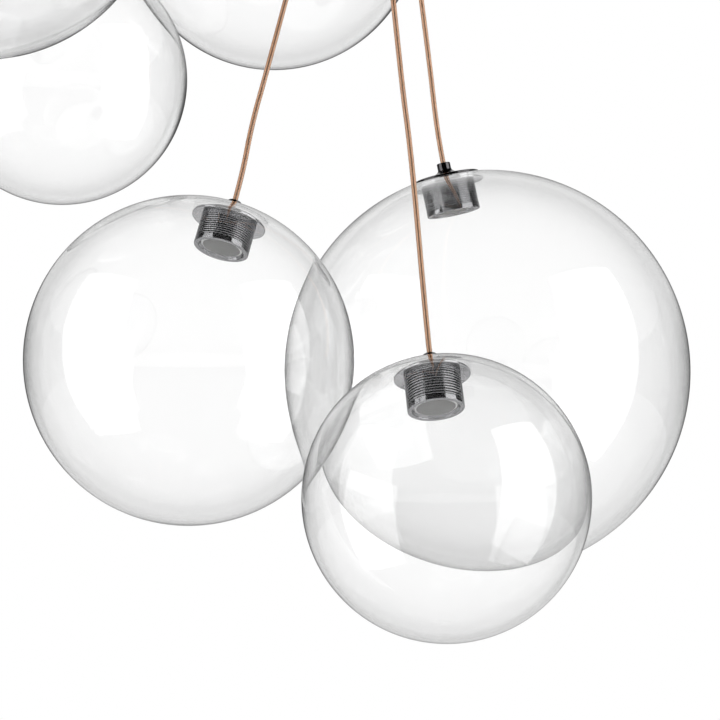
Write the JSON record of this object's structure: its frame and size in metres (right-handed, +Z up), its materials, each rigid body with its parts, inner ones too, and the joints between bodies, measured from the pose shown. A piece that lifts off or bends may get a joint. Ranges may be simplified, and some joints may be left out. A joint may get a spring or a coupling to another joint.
{
  "type": "cluster pendant lamp",
  "caption": "Ceiling cluster pendant: clear blown glass globes bunched together on copper braided cords, each with a ribbed LED fitting at its mouth.",
  "frame": {"origin": "centre of the canopy's back face, on the ceiling", "axes": "+Z up, out of the ceiling; +Y away from the picture's camera; +X to the picture's right"},
  "size_m": [0.8144, 0.5925, 1.136],
  "materials": {
    "clear_glass": "clear blown glass, polished",
    "black_nickel": "black nickel plate, polished",
    "dark_chrome": "dark chrome, turned and polished",
    "polished_nickel": "polished nickel",
    "silicone": "translucent silicone",
    "board": "white solder mask",
    "frosted": "frosted diffuser",
    "copper_cord": "copper braid under a clear jacket",
    "zinc_steel": "zinc plated",
    "driver_plastic": "moulded, fine texture"
  },
  "bodies": {
    "canopy": {"canopy_cover": "black_nickel", "ceiling_bracket": "zinc_steel", "cover_screws": "black_nickel", "led_driver": "driver_plastic", "terminal_block": "driver_plastic", "cord_glands": "black_nickel"},
    "front_cord": {"front_cord": "copper_cord"},
    "front_pendant": {"front_glass_globe": "clear_glass", "front_cap": "black_nickel", "front_cord_grip": "black_nickel", "front_seals": "silicone", "front_clamp_ring": "polished_nickel", "front_heat_sink": "dark_chrome", "front_led_board": "board", "front_lens": "frosted"},
    "left_cord": {"left_cord": "copper_cord"},
    "left_pendant": {"left_glass_globe": "clear_glass", "left_cap": "black_nickel", "left_cord_grip": "black_nickel", "left_seals": "silicone", "left_clamp_ring": "polished_nickel", "left_heat_sink": "dark_chrome", "left_led_board": "board", "left_lens": "frosted"},
    "far_cord": {"far_cord": "copper_cord"},
    "far_pendant": {"far_glass_globe": "clear_glass", "far_cap": "black_nickel", "far_cord_grip": "black_nickel", "far_seals": "silicone", "far_clamp_ring": "polished_nickel", "far_heat_sink": "dark_chrome", "far_led_board": "board", "far_lens": "frosted"},
    "upper_rear_cord": {"upper_rear_cord": "copper_cord"},
    "upper_rear_pendant": {"upper_rear_glass_globe": "clear_glass", "upper_rear_cap": "black_nickel", "upper_rear_cord_grip": "black_nickel", "upper_rear_seals": "silicone", "upper_rear_clamp_ring": "polished_nickel", "upper_rear_heat_sink": "dark_chrome", "upper_rear_led_board": "board", "upper_rear_lens": "frosted"},
    "upper_side_cord": {"upper_side_cord": "copper_cord"},
    "upper_side_pendant": {"upper_side_glass_globe": "clear_glass", "upper_side_cap": "black_nickel", "upper_side_cord_grip": "black_nickel", "upper_side_seals": "silicone", "upper_side_clamp_ring": "polished_nickel", "upper_side_heat_sink": "dark_chrome", "upper_side_led_board": "board", "upper_side_lens": "frosted"},
    "upper_near_cord": {"upper_near_cord": "copper_cord"},
    "upper_near_pendant": {"upper_near_glass_globe": "clear_glass", "upper_near_cap": "black_nickel", "upper_near_cord_grip": "black_nickel", "upper_near_seals": "silicone", "upper_near_clamp_ring": "polished_nickel", "upper_near_heat_sink": "dark_chrome", "upper_near_led_board": "board", "upper_near_lens": "frosted"}
  },
  "joints": [
    {"name": "front_swing", "type": "hinge", "parent": "canopy", "child": "front_cord", "pos_m": [-0.01, 0.008, -0.046], "axis": [-0.9063, -0.4226, 0], "range_deg": [0, 10]},
    {"name": "front_twist", "type": "hinge", "parent": "front_cord", "child": "front_pendant", "pos_m": [0.06099, -0.14404, -0.879], "axis": [-0.0999, 0.192, 0.9763], "range_deg": [-45, 45], "stiffness_Nm_per_rad": 0.02},
    {"name": "left_swing", "type": "hinge", "parent": "canopy", "child": "left_cord", "pos_m": [0.038, 0.032, -0.046], "axis": [-0.5736, 0.8192, 0], "range_deg": [0, 10]},
    {"name": "left_twist", "type": "hinge", "parent": "left_cord", "child": "left_pendant", "pos_m": [-0.11278, -0.07977, -0.72442], "axis": [0.2462, 0.145, 0.9583], "range_deg": [-45, 45], "stiffness_Nm_per_rad": 0.02},
    {"name": "far_swing", "type": "hinge", "parent": "canopy", "child": "far_cord", "pos_m": [0.002, -0.024, -0.046], "axis": [0.6157, -0.788, 0], "range_deg": [0, 10]},
    {"name": "far_twist", "type": "hinge", "parent": "far_cord", "child": "far_pendant", "pos_m": [0.07842, 0.06655, -0.64931], "axis": [-0.2072, -0.1345, 0.969], "range_deg": [-45, 45], "stiffness_Nm_per_rad": 0.02},
    {"name": "upper_rear_swing", "type": "hinge", "parent": "canopy", "child": "upper_rear_cord", "pos_m": [-0.008, 0.056, -0.046], "axis": [0.9848, -0.1736, 0], "range_deg": [0, 10]},
    {"name": "upper_rear_twist", "type": "hinge", "parent": "upper_rear_cord", "child": "upper_rear_pendant", "pos_m": [-0.0492, 0.10475, -0.24059], "axis": [0.2286, -0.2704, 0.9352], "range_deg": [-45, 45], "stiffness_Nm_per_rad": 0.02},
    {"name": "upper_side_swing", "type": "hinge", "parent": "canopy", "child": "upper_side_cord", "pos_m": [-0.06, 0.008, -0.046], "axis": [0.6428, 0.766, 0], "range_deg": [0, 10]},
    {"name": "upper_side_twist", "type": "hinge", "parent": "upper_side_cord", "child": "upper_side_pendant", "pos_m": [-0.25798, 0.08174, -0.43032], "axis": [0.2198, -0.262, 0.9397], "range_deg": [-45, 45], "stiffness_Nm_per_rad": 0.02},
    {"name": "upper_near_swing", "type": "hinge", "parent": "canopy", "child": "upper_near_cord", "pos_m": [-0.048, -0.018, -0.046], "axis": [-0.342, 0.9397, 0], "range_deg": [0, 10]},
    {"name": "upper_near_twist", "type": "hinge", "parent": "upper_near_cord", "child": "upper_near_pendant", "pos_m": [-0.23554, -0.09541, -0.30664], "axis": [0.6046, 0.2496, 0.7564], "range_deg": [-45, 45], "stiffness_Nm_per_rad": 0.02}
  ]
}
